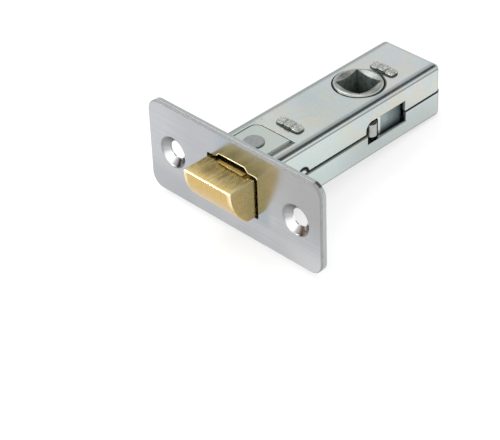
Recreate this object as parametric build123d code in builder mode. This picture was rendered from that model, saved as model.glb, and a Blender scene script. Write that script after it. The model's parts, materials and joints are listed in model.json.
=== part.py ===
from build123d import *
import math
import os

# A tubular door latch, in millimetres. X runs along the forend, Y from the forend
# into the door and Z along the spindle. The origin is the middle of the forend's
# front face. The flat side of the bolt faces up and its bevel faces down.

# Forend
forend_length = 57.0
forend_width = 25.4
forend_corner_radius = 3.5
front_plate_thickness = 0.9
rear_plate_thickness = 1.0
front_plate_edge_radius = 0.3
screw_end_distance = 8.0
screw_hole_radius = 2.4
screw_dish_radius = 4.25
screw_dish_lip_radius = 1.5
screw_dish_wall = 0.8
screw_hole_land = 0.4
dish_seat_clearance = 0.1
aperture_side_clearance = 0.6
aperture_face_clearance = 0.65
aperture_rise = 1.1
aperture_rise_half_width = 4.3
aperture_rise_slope = 1.0
aperture_corner_radius = 0.6

# Bolt, which travels back by as much as it projects
bolt_projection = 8.3
bolt_side_clearance = 0.55
bolt_face_clearance = 0.3
bolt_nose_rise = 2.5
bolt_heel_radius = 2.0
bolt_tip_radius = 0.4
bolt_edge_chamfer = 0.15
bolt_relief_depth = 0.4
bolt_relief_start = 0.9
bolt_relief_run = 1.7
bolt_pocket_clearance = 0.4
bolt_pocket_floor = 1.0

# Case, two half shells of sheet
case_width = 18.6
case_thickness = 15.2
case_behind_spindle = 20.5
case_sheet = 1.0
case_inner_bend = 0.5
parting_gap = 0.35
lower_shell_setback = 0.3
nib_from_face = 14.4
nib_radius = 1.5
nib_clearance = 0.3
window_end_clearance = 0.7
window_face_clearance = 1.4
window_corner_radius = 2.2
window_front_offset = 0.3

# Lugs of the forend, one on each shell, and their rivets
lug_half_width = 5.75
lug_offset = -0.75
lug_depth = 14.9
lug_left_corner_radius = 2.4
lug_right_corner_radius = 0.7
lug_edge_radius = 0.35
recess_clearance = 0.1
recess_spare_width = 1.5
rivet_from_face = 8.5
rivet_offset = -1.0
rivet_radius = 1.75
rivet_head_overhang = 0.9
rivet_head_height = 0.4
rivet_tail_flare = 0.55
rivet_fit = 0.03

# Spacers, peened through both shells
front_spacer_from_face = 19.2
rear_spacer_gap = 1.0
spacer_thickness = 2.0
spacer_half_width = 3.6
spacer_offset = 0.6
spacer_tab_inset = 0.3
spacer_tab_fit = 0.05
peened_end_overhang = 0.55
peened_side_overhang = 0.45
peened_lobe_overlap = 0.35
peened_corner_radius = 0.95
peened_height = 0.85
peened_shoulder = 0.2

# Follower
backset = 44.0
spindle_square = 8.0
follower_side_clearance = 0.3
follower_shoulder = 0.4
follower_journal_clearance = 0.3
follower_proud = 0.55
follower_end_play = 0.2
follower_rim_radius = 0.7
follower_rim_width = 0.9
follower_mouth_slope = 24.0
follower_full_turn = 60.0
horn_proud = 0.16
horn_half_width = 1.6
horn_half_thickness = 1.75
horn_rest_angle = 28.0

# Yoke, a folded strip round the follower
yoke_sheet = 1.0
yoke_side_clearance = 0.2
yoke_face_clearance = 1.5
yoke_bend_inside = 0.5
stop_gap = 0.3
yoke_push_gap = 0.25
yoke_notch_clearance = 0.35
yoke_notch_corner_radius = 1.0
yoke_notch_front_gap = 2.5
yoke_tab_gap = 0.1
yoke_tab_clearance = 0.3
spring_pip_clearance = 0.2
spring_pip_height = 1.0

# Tail of the bolt, with its washer and clip
tail_radius = 2.0
tail_embedded = 4.5
tail_hole_clearance = 0.3
tail_fit = 0.03
tail_washer_overlap = 1.9
tail_washer_thickness = 0.8
tail_seat_gap = 0.05
tail_groove_depth = 0.6
tail_clip_overhang = 1.4
tail_clip_grip = 0.15
tail_clip_thickness = 0.7
tail_end_length = 0.8
tail_end_chamfer = 0.3

# Springs
bolt_spring_clearance = 0.6
bolt_spring_wire = 0.35
bolt_spring_turns = 8
return_spring_radius = 1.5
return_spring_wire = 0.2
return_spring_turns = 6

# Derived places
forend_back = front_plate_thickness + rear_plate_thickness
screw_spacing = forend_length - 2 * screw_end_distance
screw_dish_floor = forend_back - screw_hole_land
screw_dish_slope = (screw_dish_radius - screw_hole_radius) / screw_dish_floor
case_depth = backset + case_behind_spindle
case_half_width = case_width / 2
case_half_thickness = case_thickness / 2
inner_half_width = case_half_width - case_sheet
inner_half_thickness = case_half_thickness - case_sheet
seat_inner_face = inner_half_thickness - case_sheet
case_rear_inside = case_depth - case_sheet
lug_left = lug_offset - lug_half_width
lug_right = lug_offset + lug_half_width
recess_left = lug_left - recess_clearance
recess_right = lug_right + recess_spare_width
recess_rear = lug_depth + recess_clearance
rivet_head_radius = rivet_radius + rivet_head_overhang
rivet_tail_radius = rivet_radius + rivet_tail_flare

yoke_outer = inner_half_width - yoke_side_clearance
yoke_inner = yoke_outer - yoke_sheet
follower_body_radius = yoke_inner - follower_side_clearance
follower_journal_radius = follower_body_radius - follower_shoulder
follower_hole_radius = follower_journal_radius + follower_journal_clearance
follower_mouth_radius = follower_journal_radius - follower_rim_width
follower_half_height = case_half_thickness + follower_proud
follower_body_half_height = inner_half_thickness - follower_end_play
horn_angle = math.radians(horn_rest_angle)
horn_far_angle = math.radians(max(horn_rest_angle, follower_full_turn - horn_rest_angle))
horn_length = (case_half_width + horn_proud - horn_half_width) / math.cos(horn_angle)
horn_reach = horn_length + horn_half_width
horn_far = horn_length * math.sin(horn_far_angle) + horn_half_width
window_half_length = horn_far + window_end_clearance
window_half_height = horn_half_thickness + window_face_clearance

spacer_half_thickness = spacer_thickness / 2
spacer_tab_half_width = spacer_half_width - spacer_tab_inset
rear_spacer_from_face = backset + follower_body_radius + rear_spacer_gap + spacer_half_thickness
front_spacer_front = front_spacer_from_face - spacer_half_thickness
front_spacer_rear = front_spacer_from_face + spacer_half_thickness
peened_length = 2 * (spacer_tab_half_width + peened_end_overhang)
peened_lobe_length = (peened_length + 2 * peened_lobe_overlap) / 3
peened_lobe_width = spacer_thickness + 2 * peened_side_overhang
peened_lobe_pitch = peened_lobe_length - peened_lobe_overlap

bolt_half_width = inner_half_width - bolt_side_clearance
bolt_half_thickness = seat_inner_face - bolt_face_clearance
bolt_thickness = 2 * bolt_half_thickness
bolt_nose_radius = bolt_thickness + bolt_nose_rise
bolt_rear = front_spacer_front - bolt_projection - stop_gap
bolt_spring_radius = tail_radius + bolt_spring_clearance + bolt_spring_wire
bolt_pocket_radius = bolt_spring_radius + bolt_spring_wire + bolt_pocket_clearance

yoke_front = front_spacer_rear + stop_gap
yoke_half_height = inner_half_thickness - yoke_face_clearance
yoke_notch_top = horn_half_thickness + yoke_notch_clearance
yoke_notch_front = backset - horn_reach - yoke_notch_front_gap
horn_flank = horn_half_width / math.cos(horn_angle) - yoke_inner * math.tan(horn_angle)
yoke_push_edge = backset + horn_flank + yoke_push_gap
yoke_tab_front = backset + follower_body_radius + yoke_tab_gap
yoke_tab_rear = yoke_tab_front + yoke_sheet
yoke_tab_inner = spacer_half_width + spacer_offset + yoke_tab_clearance
return_spring_offset = (yoke_tab_inner + yoke_outer) / 2
spring_pip_radius = return_spring_radius - return_spring_wire - spring_pip_clearance

tail_hole_radius = tail_radius + tail_hole_clearance
tail_washer_radius = tail_hole_radius + tail_washer_overlap
tail_groove_radius = tail_radius - tail_groove_depth
tail_clip_radius = tail_radius + tail_clip_overhang
tail_washer_front = yoke_front + yoke_sheet + tail_seat_gap
tail_clip_front = tail_washer_front + tail_washer_thickness + tail_seat_gap
tail_rear = tail_clip_front + tail_clip_thickness + tail_end_length


def forend_plane(depth):
    """Plane across the latch, this far behind the forend's front face."""
    return Plane.XZ.offset(-depth)


def block(x_range, y_range, z_range, mode=Mode.ADD):
    """Plain block between three pairs of limits, in the part being built."""
    with BuildSketch(Plane.XY.offset(z_range[0]), mode=Mode.PRIVATE) as base:
        with Locations(((x_range[0] + x_range[1]) / 2, (y_range[0] + y_range[1]) / 2)):
            Rectangle(x_range[1] - x_range[0], y_range[1] - y_range[0])
    extrude(base.sketch, amount=z_range[1] - z_range[0], mode=mode)


def finish(part, name):
    """Label a finished piece and write it."""
    part.part.label = name
    export_step(part.part, "parts/" + name + ".step")


def aperture_sketch():
    """Outline of the bolt's opening, raised in the middle of both long sides."""
    side = bolt_half_width + aperture_side_clearance
    face = bolt_half_thickness + aperture_face_clearance
    top = face + aperture_rise
    crest = aperture_rise_half_width
    foot = crest + aperture_rise_slope
    upper = [(side, face), (foot, face), (crest, top), (-crest, top), (-foot, face), (-side, face)]
    lower = [(-x, -z) for x, z in upper]
    with BuildSketch(Plane.XZ, mode=Mode.PRIVATE) as outline:
        with BuildLine():
            Polyline(*upper, *lower, close=True)
        make_face()
        fillet(outline.vertices(), aperture_corner_radius)
    return outline.sketch


def dish_back_radius(depth):
    """Outside radius of a pressed screw dish, one wall thickness out from its cone."""
    wall_across = screw_dish_wall * math.hypot(1, screw_dish_slope)
    return screw_dish_radius - screw_dish_slope * depth + wall_across


def turned(points, axis_x, mode):
    """Solid turned about an axis into the door, from points of radius and depth."""
    with BuildSketch(Plane.XY, mode=Mode.PRIVATE) as profile:
        with BuildLine():
            Polyline(*[(axis_x + radius, depth) for radius, depth in points], close=True)
        make_face()
    revolve(profile.sketch, axis=Axis((axis_x, 0, 0), (0, 1, 0)), mode=mode)


os.makedirs("parts", exist_ok=True)
screw_places = [-screw_spacing / 2, screw_spacing / 2]

# Front plate of the forend, with two pressed screw dishes
with BuildPart() as front_forend_plate:
    with BuildSketch(forend_plane(0)):
        RectangleRounded(forend_length, forend_width, forend_corner_radius)
    extrude(amount=-front_plate_thickness)
    rim = front_forend_plate.faces().sort_by(Axis.Y)[0].edges()
    fillet(rim, front_plate_edge_radius)
    extrude(aperture_sketch(), amount=-front_plate_thickness, mode=Mode.SUBTRACT)
    for place in screw_places:
        cup = [
            (0, 0),
            (dish_back_radius(front_plate_thickness), 0),
            (dish_back_radius(front_plate_thickness), front_plate_thickness),
            (dish_back_radius(forend_back), forend_back),
            (0, forend_back),
        ]
        turned(cup, place, Mode.ADD)
        bowl = [
            (0, 0),
            (screw_dish_radius, 0),
            (screw_hole_radius, screw_dish_floor),
            (screw_hole_radius, forend_back),
            (0, forend_back),
        ]
        turned(bowl, place, Mode.SUBTRACT)
    face_circles = front_forend_plate.edges().filter_by(GeomType.CIRCLE).group_by(Axis.Y)[0]
    lips = [edge for edge in face_circles if abs(edge.radius - screw_dish_radius) < 0.01]
    fillet(lips, screw_dish_lip_radius)

# Rear plate of the forend, with a lug folded back over each shell
with BuildPart() as rear_forend_plate:
    with BuildSketch(forend_plane(front_plate_thickness)):
        RectangleRounded(forend_length, forend_width, forend_corner_radius)
    extrude(amount=-rear_plate_thickness)
    extrude(aperture_sketch().moved(Location((0, front_plate_thickness, 0))),
            amount=-rear_plate_thickness, mode=Mode.SUBTRACT)
    for place in screw_places:
        seat = [
            (0, front_plate_thickness),
            (dish_back_radius(front_plate_thickness) + dish_seat_clearance, front_plate_thickness),
            (dish_back_radius(forend_back) + dish_seat_clearance, forend_back),
            (0, forend_back),
        ]
        turned(seat, place, Mode.SUBTRACT)
    for side in (1, -1):
        faces_z = sorted([side * inner_half_thickness, side * case_half_thickness])
        block((lug_left, lug_right), (forend_back - rear_plate_thickness / 2, lug_depth), faces_z)
    # Rear corners of both lugs: a large round on the left, a small one on the right
    for place, corner_radius in ((0, lug_left_corner_radius), (-1, lug_right_corner_radius)):
        rear_corners = rear_forend_plate.edges().filter_by(Axis.Z).group_by(Axis.Y)[-1]
        fillet(rear_corners.group_by(Axis.X)[place], corner_radius)
    outer_faces = rear_forend_plate.faces().filter_by(Axis.Z)
    outer_faces = [face for face in outer_faces
                   if abs(abs(face.center().Z) - case_half_thickness) < 0.01]
    lug_sides = [edge for face in outer_faces for edge in face.edges().filter_by(Axis.Y)]
    fillet(lug_sides, lug_edge_radius)
    for side in (1, -1):
        with BuildSketch(Plane.XY.offset(side * case_half_thickness)):
            with Locations((rivet_offset, rivet_from_face)):
                Circle(rivet_radius + rivet_fit)
        extrude(amount=-side * case_sheet, mode=Mode.SUBTRACT)


def case_shell(nibs, setback):
    """One half of the case, as the upper one: a drawn tray, open at the front and below."""
    with BuildPart() as shell:
        block((-case_half_width, case_half_width), (forend_back, case_depth + setback),
              (parting_gap / 2, case_half_thickness))
        bends = shell.edges().filter_by(Axis.Y).group_by(Axis.Z)[-1]
        bends = bends + shell.faces().sort_by(Axis.Y)[-1].edges().group_by(Axis.Z)[-1]
        bends = bends + shell.edges().filter_by(Axis.Z).group_by(Axis.Y)[-1]
        fillet(bends, case_sheet + case_inner_bend)
        open_faces = [shell.faces().sort_by(Axis.Y)[0], shell.faces().sort_by(Axis.Z)[0]]
        offset(amount=-case_sheet, openings=open_faces)
        # Pressed seat under the lug, and the recess that the lug lies in, rounded as the lug is
        block((recess_left - case_sheet, recess_right + case_sheet),
              (forend_back, recess_rear + case_sheet), (seat_inner_face, inner_half_thickness))
        with BuildSketch(Plane.XY.offset(inner_half_thickness)) as recess:
            with Locations(((recess_left + recess_right) / 2, (forend_back + recess_rear) / 2)):
                Rectangle(recess_right - recess_left, recess_rear - forend_back)
            rear_left = recess.vertices().group_by(Axis.Y)[-1].sort_by(Axis.X)[0]
            fillet(rear_left, lug_left_corner_radius + recess_clearance)
        extrude(amount=case_sheet, mode=Mode.SUBTRACT)
        # Rivet hole, opened out inside for the rivet's tail
        with BuildSketch(Plane.XY.offset(seat_inner_face)):
            with Locations((rivet_offset, rivet_from_face)):
                Circle(rivet_tail_radius + rivet_fit)
        with BuildSketch(Plane.XY.offset(inner_half_thickness)):
            with Locations((rivet_offset, rivet_from_face)):
                Circle(rivet_radius + rivet_fit)
        loft(mode=Mode.SUBTRACT)
        # Follower's hole and the spacers' slots
        with BuildSketch(Plane.XY.offset(inner_half_thickness)):
            with Locations((0, backset)):
                Circle(follower_hole_radius)
            with Locations((spacer_offset, front_spacer_from_face),
                           (spacer_offset, rear_spacer_from_face)):
                Rectangle(2 * (spacer_tab_half_width + spacer_tab_fit),
                          spacer_thickness + 2 * spacer_tab_fit)
        extrude(amount=case_sheet, mode=Mode.SUBTRACT)
        # Notches of the side windows, with the front corner rounded in the upper shell
        window_front = backset - window_half_length - (0 if nibs else window_front_offset)
        with BuildSketch(Plane.YZ) as notch:
            with Locations(((window_front + backset + window_half_length) / 2 + setback,
                            window_half_height / 2)):
                Rectangle(backset + window_half_length - window_front, window_half_height)
            if not nibs:
                corner = notch.vertices().group_by(Axis.Y)[-1].sort_by(Axis.X)[0]
                fillet(corner, window_corner_radius)
        extrude(amount=case_width, both=True, mode=Mode.SUBTRACT)
        # Locating nibs at the parting line, or the notches that take them
        nib_size = nib_radius if nibs else nib_radius + nib_clearance
        for side in (1, -1):
            with BuildSketch(Plane.YZ.offset(side * inner_half_width)):
                with Locations((nib_from_face, 0)):
                    Circle(nib_size)
            extrude(amount=side * case_sheet, mode=Mode.ADD if nibs else Mode.SUBTRACT)
    return shell


upper_case_shell = case_shell(nibs=False, setback=0.0)

with BuildPart() as lower_case_shell:
    add(mirror(case_shell(nibs=True, setback=lower_shell_setback).part, about=Plane.XY))


def lug_rivet(side):
    """Rivet through one lug and its seat, side 1 on top and -1 below."""
    with BuildPart() as rivet:
        with BuildSketch(Plane.XZ, mode=Mode.PRIVATE) as profile:
            with BuildLine():
                Polyline(
                    (0, seat_inner_face),
                    (rivet_tail_radius, seat_inner_face),
                    (rivet_radius, inner_half_thickness),
                    (rivet_radius, case_half_thickness),
                    (rivet_head_radius, case_half_thickness),
                    (rivet_head_radius, case_half_thickness + rivet_head_height),
                    (0, case_half_thickness + rivet_head_height),
                    close=True,
                )
            make_face()
        revolve(profile.sketch, axis=Axis.Z)
        fillet(rivet.edges().group_by(Axis.Z)[-1], rivet_head_height / 2)
    placed = Pos(rivet_offset, rivet_from_face, 0) * rivet.part
    return placed if side > 0 else mirror(placed, about=Plane.XY)


with BuildPart() as upper_lug_rivet:
    add(lug_rivet(1))

with BuildPart() as lower_lug_rivet:
    add(lug_rivet(-1))


def spacer(from_face, tail_hole):
    """Strut between the shells, its tabs peened over into three lobes outside them."""
    with BuildPart() as strut:
        near = from_face - spacer_half_thickness
        far = from_face + spacer_half_thickness
        block((spacer_offset - spacer_half_width, spacer_offset + spacer_half_width),
              (near, far), (-inner_half_thickness, inner_half_thickness))
        block((spacer_offset - spacer_tab_half_width, spacer_offset + spacer_tab_half_width),
              (near, far), (-case_half_thickness, case_half_thickness))
        for side in (1, -1):
            for lobe in (-1, 0, 1):
                for height, inset in ((0, 0), (peened_height, peened_shoulder)):
                    with BuildSketch(Plane.XY.offset(side * (case_half_thickness + height))):
                        with Locations((spacer_offset + lobe * peened_lobe_pitch, from_face)):
                            RectangleRounded(peened_lobe_length - 2 * inset,
                                             peened_lobe_width - 2 * inset,
                                             peened_corner_radius - inset)
                loft()
        if tail_hole:
            with BuildSketch(forend_plane(near)):
                Circle(tail_hole_radius)
            extrude(amount=-spacer_thickness, mode=Mode.SUBTRACT)
    return strut


front_spacer = spacer(front_spacer_from_face, tail_hole=True)
rear_spacer = spacer(rear_spacer_from_face, tail_hole=False)

# Bolt head: flat above, a curved bevel in front and below, a spring pocket behind
with BuildPart() as latch_bolt:
    nose_centre = bolt_nose_radius - bolt_projection
    heel = nose_centre - math.sqrt(bolt_nose_radius ** 2 - bolt_thickness ** 2)
    nose_middle = math.pi + math.asin(bolt_thickness / bolt_nose_radius) / 2
    with BuildSketch(Plane.YZ) as bolt_profile:
        with BuildLine():
            ThreePointArc(
                (-bolt_projection, bolt_half_thickness),
                (nose_centre + bolt_nose_radius * math.cos(nose_middle),
                 bolt_half_thickness + bolt_nose_radius * math.sin(nose_middle)),
                (heel, -bolt_half_thickness),
            )
            Polyline(
                (heel, -bolt_half_thickness),
                (bolt_rear, -bolt_half_thickness),
                (bolt_rear, bolt_half_thickness),
                (-bolt_projection, bolt_half_thickness),
            )
        make_face()
        tip = bolt_profile.vertices().sort_by(Axis.X)[0]
        fillet(tip, bolt_tip_radius)
        heel_corner = bolt_profile.vertices().group_by(Axis.Y)[0].sort_by(Axis.X)[0]
        fillet(heel_corner, bolt_heel_radius)
    extrude(amount=bolt_half_width, both=True)
    end_faces = latch_bolt.faces().filter_by(Axis.X)
    chamfer(end_faces.edges(), bolt_edge_chamfer)
    # Shallow relief above and below, as wide as the aperture's rise, with a curved start
    for side in (1, -1):
        surface = side * bolt_half_thickness
        floor = side * (bolt_half_thickness - bolt_relief_depth)
        run_end = -bolt_relief_start + bolt_relief_run
        with BuildSketch(Plane.YZ):
            with BuildLine():
                Spline((-bolt_relief_start, surface), (run_end, floor),
                       tangents=[(1, -side * bolt_relief_depth / bolt_relief_run), (1, 0)])
                Polyline((run_end, floor), (bolt_rear, floor), (bolt_rear, surface),
                         (-bolt_relief_start, surface))
            make_face()
        extrude(amount=aperture_rise_half_width, both=True, mode=Mode.SUBTRACT)
    with BuildSketch(forend_plane(bolt_pocket_floor)):
        Circle(bolt_pocket_radius)
    extrude(amount=-(bolt_rear - bolt_pocket_floor), mode=Mode.SUBTRACT)
    with BuildSketch(forend_plane(bolt_pocket_floor - tail_embedded)):
        Circle(tail_radius + tail_fit)
    extrude(amount=-tail_embedded, mode=Mode.SUBTRACT)

# Tail rod, held in the bolt, with a groove for its clip
with BuildPart() as bolt_tail:
    tail_front = bolt_pocket_floor - tail_embedded
    with BuildSketch(forend_plane(tail_front)):
        Circle(tail_radius)
    extrude(amount=-(tail_rear - tail_front))
    chamfer(bolt_tail.faces().sort_by(Axis.Y)[-1].edges(), tail_end_chamfer)
    with BuildSketch(forend_plane(tail_clip_front)):
        Circle(tail_radius)
        Circle(tail_groove_radius, mode=Mode.SUBTRACT)
    extrude(amount=-tail_clip_thickness, mode=Mode.SUBTRACT)

with BuildPart() as tail_washer:
    with BuildSketch(forend_plane(tail_washer_front)):
        Circle(tail_washer_radius)
        Circle(tail_radius + tail_fit, mode=Mode.SUBTRACT)
    extrude(amount=-tail_washer_thickness)

# Clip: a ring open on one side, pushed into the tail's groove
with BuildPart() as tail_clip:
    with BuildSketch(forend_plane(tail_clip_front)):
        Circle(tail_clip_radius)
        Circle(tail_groove_radius + tail_fit, mode=Mode.SUBTRACT)
        with Locations((0, -tail_clip_radius / 2)):
            Rectangle(2 * (tail_groove_radius - tail_clip_grip), tail_clip_radius,
                      mode=Mode.SUBTRACT)
    extrude(amount=-tail_clip_thickness)

# Yoke: a folded strip from the tail round both sides of the follower
with BuildPart() as yoke:
    yoke_length = yoke_tab_rear - yoke_front
    with BuildSketch(Plane.XY.offset(-yoke_half_height)):
        with Locations((0, yoke_front + yoke_length / 2)):
            RectangleRounded(2 * yoke_outer, yoke_length, yoke_bend_inside + yoke_sheet)
            RectangleRounded(2 * yoke_inner, yoke_length - 2 * yoke_sheet, yoke_bend_inside,
                             mode=Mode.SUBTRACT)
        with Locations((0, yoke_tab_rear)):
            Rectangle(2 * yoke_tab_inner, 2 * (yoke_sheet + yoke_bend_inside), mode=Mode.SUBTRACT)
    extrude(amount=2 * yoke_half_height)
    # Notch in each side, where a horn passes and pushes on the rear edge
    notch_length = yoke_push_edge - yoke_notch_front
    notch_height = yoke_notch_top + yoke_half_height
    with BuildSketch(Plane.YZ) as horn_notch:
        with Locations((yoke_notch_front + notch_length / 2, yoke_notch_top - notch_height / 2)):
            Rectangle(notch_length, notch_height)
        fillet(horn_notch.vertices().group_by(Axis.Y)[-1], yoke_notch_corner_radius)
    extrude(amount=yoke_outer, both=True, mode=Mode.SUBTRACT)
    with BuildSketch(forend_plane(yoke_front)):
        Circle(tail_hole_radius)
    extrude(amount=-yoke_sheet, mode=Mode.SUBTRACT)
    with BuildSketch(forend_plane(yoke_tab_rear)):
        with Locations((-return_spring_offset, 0), (return_spring_offset, 0)):
            Circle(spring_pip_radius)
    extrude(amount=-spring_pip_height)

# Follower: a hub with a square socket and a horn on each side
with BuildPart() as follower:
    with BuildSketch(Plane.XY):
        with Locations((0, backset)):
            Circle(follower_body_radius)
    extrude(amount=follower_body_half_height, both=True)
    with BuildSketch(Plane.XY):
        with Locations((0, backset)):
            Circle(follower_journal_radius)
    extrude(amount=follower_half_height, both=True)
    rims = follower.edges().filter_by(GeomType.CIRCLE).group_by(Axis.Z)
    fillet(rims[0] + rims[-1], follower_rim_radius)
    horn_middle = horn_length / 2
    for turn in (-horn_rest_angle, 180 + horn_rest_angle):
        lean = math.radians(turn)
        with BuildSketch(Plane.XY):
            with Locations(Location((horn_middle * math.cos(lean),
                                     backset + horn_middle * math.sin(lean), 0), (0, 0, turn))):
                SlotCenterToCenter(horn_length, 2 * horn_half_width)
        extrude(amount=horn_half_thickness, both=True)
    with BuildSketch(Plane.XY):
        with Locations((0, backset)):
            Rectangle(spindle_square, spindle_square)
    extrude(amount=follower_half_height, both=True, mode=Mode.SUBTRACT)
    # Shallow funnel round the socket's mouth, at both ends
    funnel_depth = follower_mouth_radius * math.tan(math.radians(follower_mouth_slope))
    for side in (1, -1):
        with BuildSketch(Plane.YZ, mode=Mode.PRIVATE) as funnel:
            with BuildLine():
                Polyline(
                    (backset, side * follower_half_height),
                    (backset + follower_mouth_radius, side * follower_half_height),
                    (backset, side * (follower_half_height - funnel_depth)),
                    close=True,
                )
            make_face()
        revolve(funnel.sketch, axis=Axis((0, backset, 0), (0, 0, 1)), mode=Mode.SUBTRACT)


def coil_spring(start, end, x, radius, wire, turns):
    """Compression spring into the door between two seats, of round wire."""
    length = end - start - 2 * wire
    with BuildPart() as spring:
        with BuildLine() as path:
            Helix(pitch=length / turns, height=length, radius=radius,
                  center=(x, start + wire, 0), direction=(0, 1, 0))
        with BuildSketch(Plane(origin=path.line @ 0, z_dir=path.line % 0)):
            Circle(wire)
        sweep(path=path.line, is_frenet=True)
    return spring


bolt_spring = coil_spring(bolt_pocket_floor, front_spacer_front, 0.0,
                          bolt_spring_radius, bolt_spring_wire, bolt_spring_turns)
left_return_spring = coil_spring(yoke_tab_rear, case_rear_inside, -return_spring_offset,
                                 return_spring_radius, return_spring_wire, return_spring_turns)
right_return_spring = coil_spring(yoke_tab_rear, case_rear_inside, return_spring_offset,
                                  return_spring_radius, return_spring_wire, return_spring_turns)

finish(front_forend_plate, "front_forend_plate")
finish(rear_forend_plate, "rear_forend_plate")
finish(upper_case_shell, "upper_case_shell")
finish(lower_case_shell, "lower_case_shell")
finish(upper_lug_rivet, "upper_lug_rivet")
finish(lower_lug_rivet, "lower_lug_rivet")
finish(front_spacer, "front_spacer")
finish(rear_spacer, "rear_spacer")
finish(latch_bolt, "latch_bolt")
finish(bolt_tail, "bolt_tail")
finish(tail_washer, "tail_washer")
finish(tail_clip, "tail_clip")
finish(bolt_spring, "bolt_spring")
finish(yoke, "yoke")
finish(left_return_spring, "left_return_spring")
finish(right_return_spring, "right_return_spring")
finish(follower, "follower")
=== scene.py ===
import json
import math
import random

import bmesh
import bpy
from mathutils import Matrix, Vector, noise


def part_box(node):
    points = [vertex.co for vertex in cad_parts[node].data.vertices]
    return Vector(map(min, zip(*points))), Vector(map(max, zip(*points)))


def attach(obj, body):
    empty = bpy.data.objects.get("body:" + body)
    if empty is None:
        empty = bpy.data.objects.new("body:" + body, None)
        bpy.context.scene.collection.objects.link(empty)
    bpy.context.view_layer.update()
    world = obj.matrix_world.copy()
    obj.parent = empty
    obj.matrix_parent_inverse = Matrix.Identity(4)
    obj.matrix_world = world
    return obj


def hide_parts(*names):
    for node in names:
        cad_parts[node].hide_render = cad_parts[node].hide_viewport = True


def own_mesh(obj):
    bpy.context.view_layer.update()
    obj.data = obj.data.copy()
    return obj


# A tubular door latch, in metres, in the frame of its solids: X along the forend,
# Y into the door, Z along the spindle. It lies on its forend's lower long edge and on
# the peened end of its rear spacer.
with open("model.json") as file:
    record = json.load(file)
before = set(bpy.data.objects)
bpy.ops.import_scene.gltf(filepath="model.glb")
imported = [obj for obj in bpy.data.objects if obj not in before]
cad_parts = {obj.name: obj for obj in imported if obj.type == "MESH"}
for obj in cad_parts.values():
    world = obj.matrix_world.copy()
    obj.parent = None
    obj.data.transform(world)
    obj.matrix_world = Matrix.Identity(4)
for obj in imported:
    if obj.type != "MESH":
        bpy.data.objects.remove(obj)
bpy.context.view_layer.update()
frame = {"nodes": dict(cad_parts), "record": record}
nodes = frame["nodes"]
mounts = {entry["name"]: entry for entry in frame["record"]["mounts"]}
MM = 0.001


def span(node):
    """Lowest and highest corner of a solid."""
    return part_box(node)


# Solids that the rest is placed by
rear_plate_low, rear_plate_high = span("rear_forend_plate")
shell_low, shell_high = span("upper_case_shell")
rear_head_low, rear_head_high = span("rear_spacer")
bolt_high = span("latch_bolt")[1]

# Places on the solids that the finishes follow, in millimetres
screw_x = mounts["forend_screws"]["dims"]["spacing_x_mm"] / 2
spindle_y = mounts["spindle_socket"]["pos_m"][1] / MM
plate_joint = rear_plate_low.y / MM
forend_back = shell_low.y / MM
lug_end = rear_plate_high.y / MM
case_side = shell_high.x / MM
case_top = shell_high.z / MM
case_rear = shell_high.y / MM
bolt_side = bolt_high.x / MM
bolt_top = bolt_high.z / MM
bolt_travel = 8.3
bolt_tip = -bolt_travel
nose_end = -3.4
relief_start = -0.9
relief_half_width = 4.7
dish_rim = 4.3
lug_left = -6.5
lug_right = 5.0
rivets_end = 12.0
bend_start = 7.8
journal_hole = 6.7
journal_radius = 6.4
socket_half = 4.0
nib_y = 14.4
nib_z = -0.12
nib_gap_radius = 1.65
window_rear = 51.0
window_half_height = 3.15
bright_rim_start = 42.5
rust_x = -6.5
rust_y = 16.8

# Measures of the yoke and of the follower's horn, in millimetres
horn_half_width = 1.6
horn_rest = math.radians(28.0)
yoke_inner = 7.1
yoke_push_gap = 0.25
yoke_sheet = 1.0
horn_flank = horn_half_width / math.cos(horn_rest) - yoke_inner * math.tan(horn_rest)
yoke_notch_rear = spindle_y + horn_flank + yoke_push_gap


# Camera, worked out from the straight edges of the latch
picture_width = 500
sensor_width = 36.0
camera_azimuth = math.radians(46.272)
camera_elevation = math.radians(36.559)
camera_roll = math.radians(-2.381)
focal_pixels = 1882.93
origin_distance = 0.443687
origin_right_pixels = -17.468
origin_down_pixels = -34.493


def place_camera():
    """Camera at the photograph's viewing angle, with the origin where it falls in the picture."""
    back = Vector((
        math.sin(camera_azimuth) * math.cos(camera_elevation),
        -math.cos(camera_azimuth) * math.cos(camera_elevation),
        math.sin(camera_elevation),
    ))
    level_right = (-back).cross(Vector((0, 0, 1))).normalized()
    level_up = level_right.cross(-back)
    right = math.cos(camera_roll) * level_right + math.sin(camera_roll) * level_up
    up = -math.sin(camera_roll) * level_right + math.cos(camera_roll) * level_up
    pixel = origin_distance / focal_pixels
    where = back * origin_distance - right * origin_right_pixels * pixel + up * origin_down_pixels * pixel
    lens = bpy.data.cameras.new("camera")
    lens.sensor_width = sensor_width
    lens.lens = focal_pixels * sensor_width / picture_width
    lens.clip_start = 0.01
    lens.clip_end = 50.0
    camera = bpy.data.objects.new("camera", lens)
    bpy.context.scene.collection.objects.link(camera)
    camera.matrix_world = Matrix((
        (right.x, up.x, back.x, where.x),
        (right.y, up.y, back.y, where.y),
        (right.z, up.z, back.z, where.z),
        (0, 0, 0, 1),
    ))
    bpy.context.scene.camera = camera


place_camera()


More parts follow.
